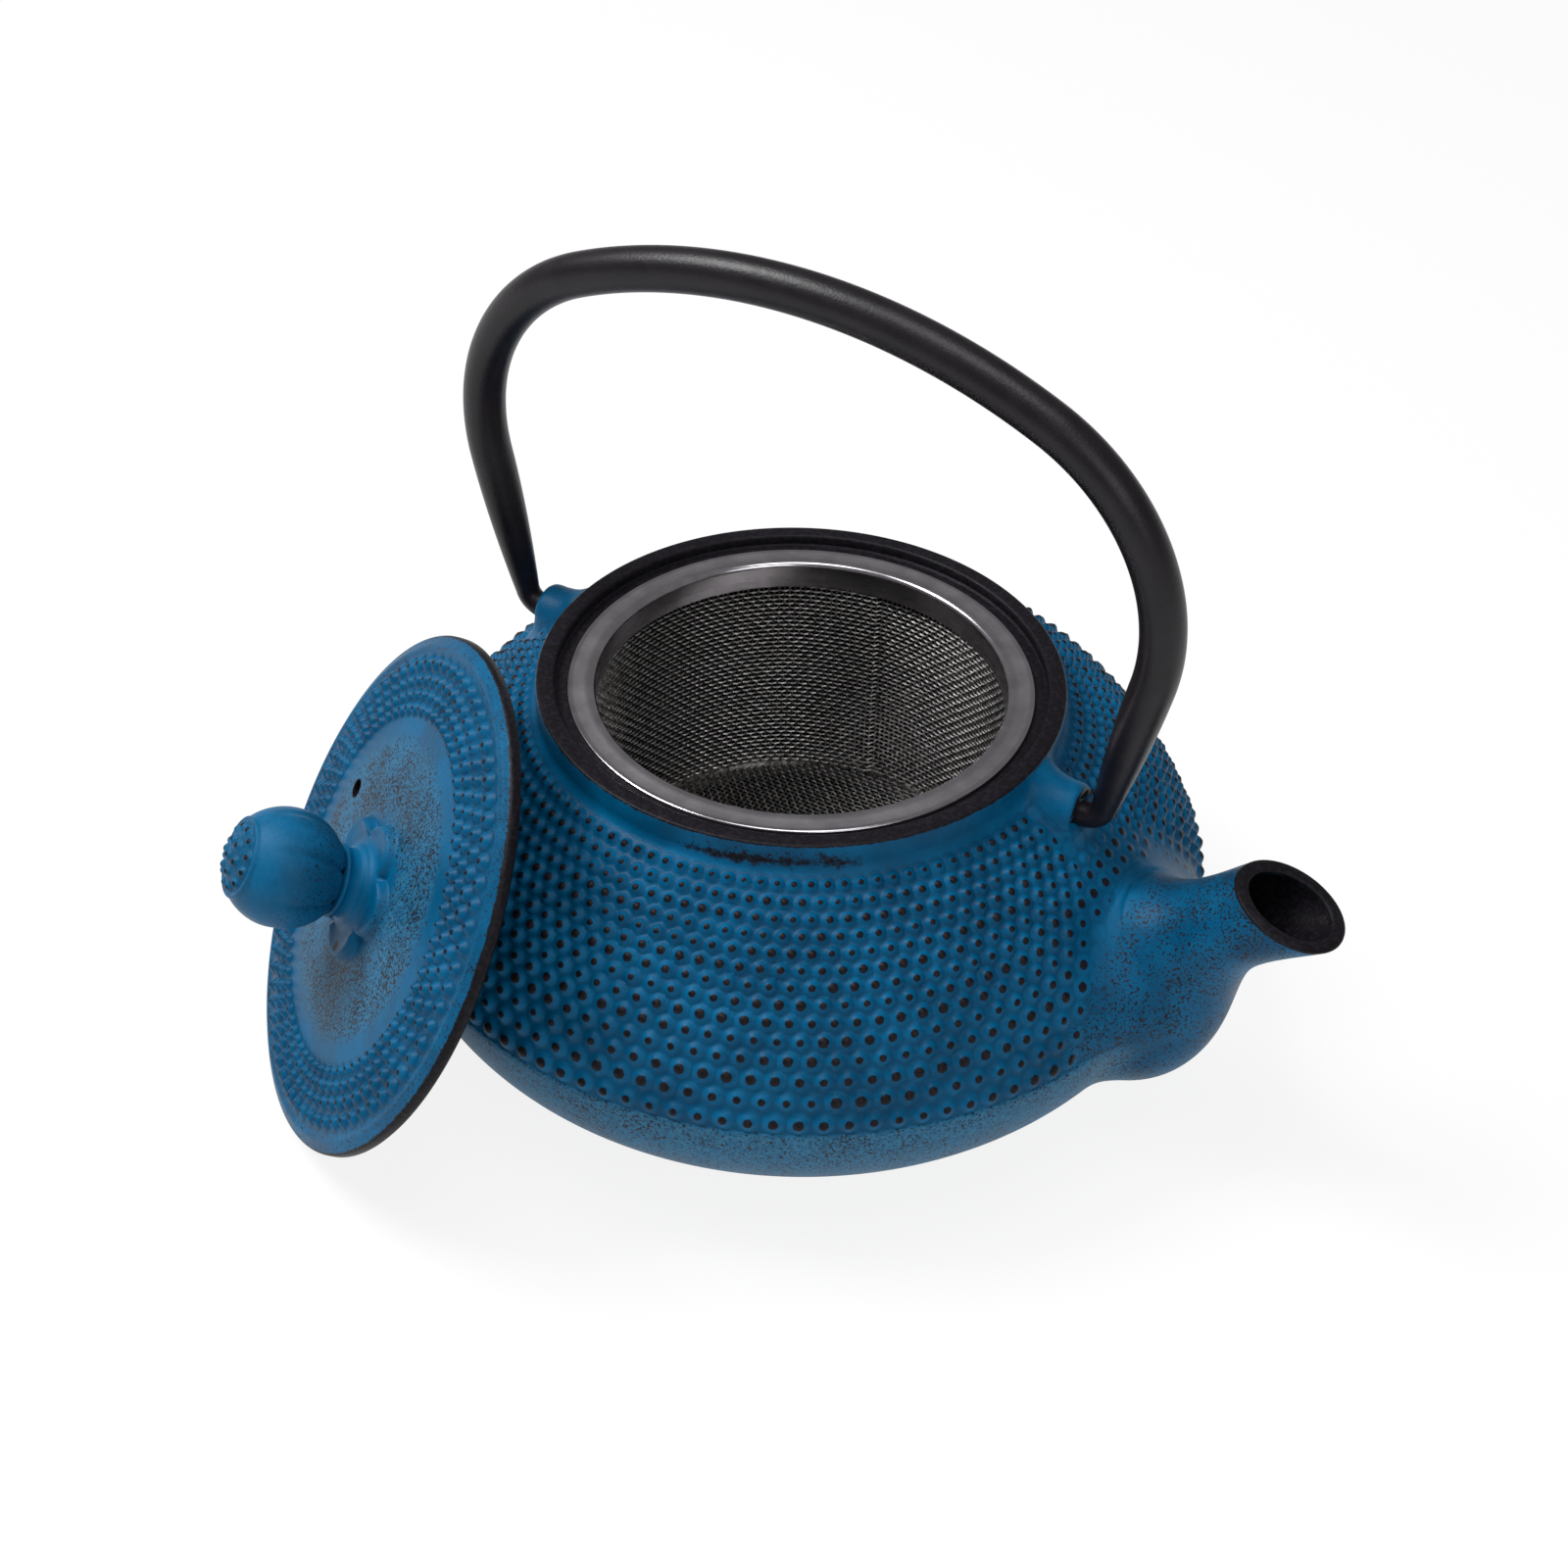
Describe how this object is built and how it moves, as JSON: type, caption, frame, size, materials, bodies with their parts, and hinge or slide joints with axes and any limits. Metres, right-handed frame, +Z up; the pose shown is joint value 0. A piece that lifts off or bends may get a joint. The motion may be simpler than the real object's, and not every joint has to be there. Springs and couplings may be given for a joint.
{
  "type": "cast iron teapot",
  "caption": "Squat blue hobnail cast iron teapot with a swinging bail handle, a lift-out mesh infuser and a knobbed lid leaning against its side.",
  "frame": {"origin": "centre of the pot's flat base, on the surface it stands on", "axes": "+Z up along the pot's axis, +X along the spout"},
  "size_m": [0.1685, 0.1563, 0.1318],
  "materials": {
    "blue_enamel": "blue enamel wash worn to black on the hobnail tops and edges",
    "black_iron": "satin black coat",
    "satin_steel": "satin pressed steel with polished edges",
    "steel_mesh": "plain woven steel wire cloth"
  },
  "bodies": {
    "pot": {"pot_body": "blue_enamel"},
    "bail": {"bail_handle": "black_iron"},
    "infuser": {"infuser_rim": "satin_steel", "infuser_mesh_wall": "steel_mesh", "infuser_mesh_floor": "steel_mesh", "infuser_base_ring": "satin_steel"},
    "lid": {"lid_plate": "blue_enamel", "lid_knob": "blue_enamel", "knob_rivet": "black_iron"}
  },
  "joints": [
    {"name": "bail_swing", "type": "hinge", "parent": "pot", "child": "bail", "pos_m": [0, 0, 0.0541], "axis": [1, 0, 0], "range_deg": [-105, 62]},
    {"name": "infuser_lift", "type": "slide", "parent": "pot", "child": "infuser", "axis": [0, 0, 1], "range_m": [0, 0.052]},
    {"name": "lid_lift", "type": "slide", "parent": "pot", "child": "lid", "axis": [0, 0, 1], "range_m": [0, 0.14]}
  ]
}
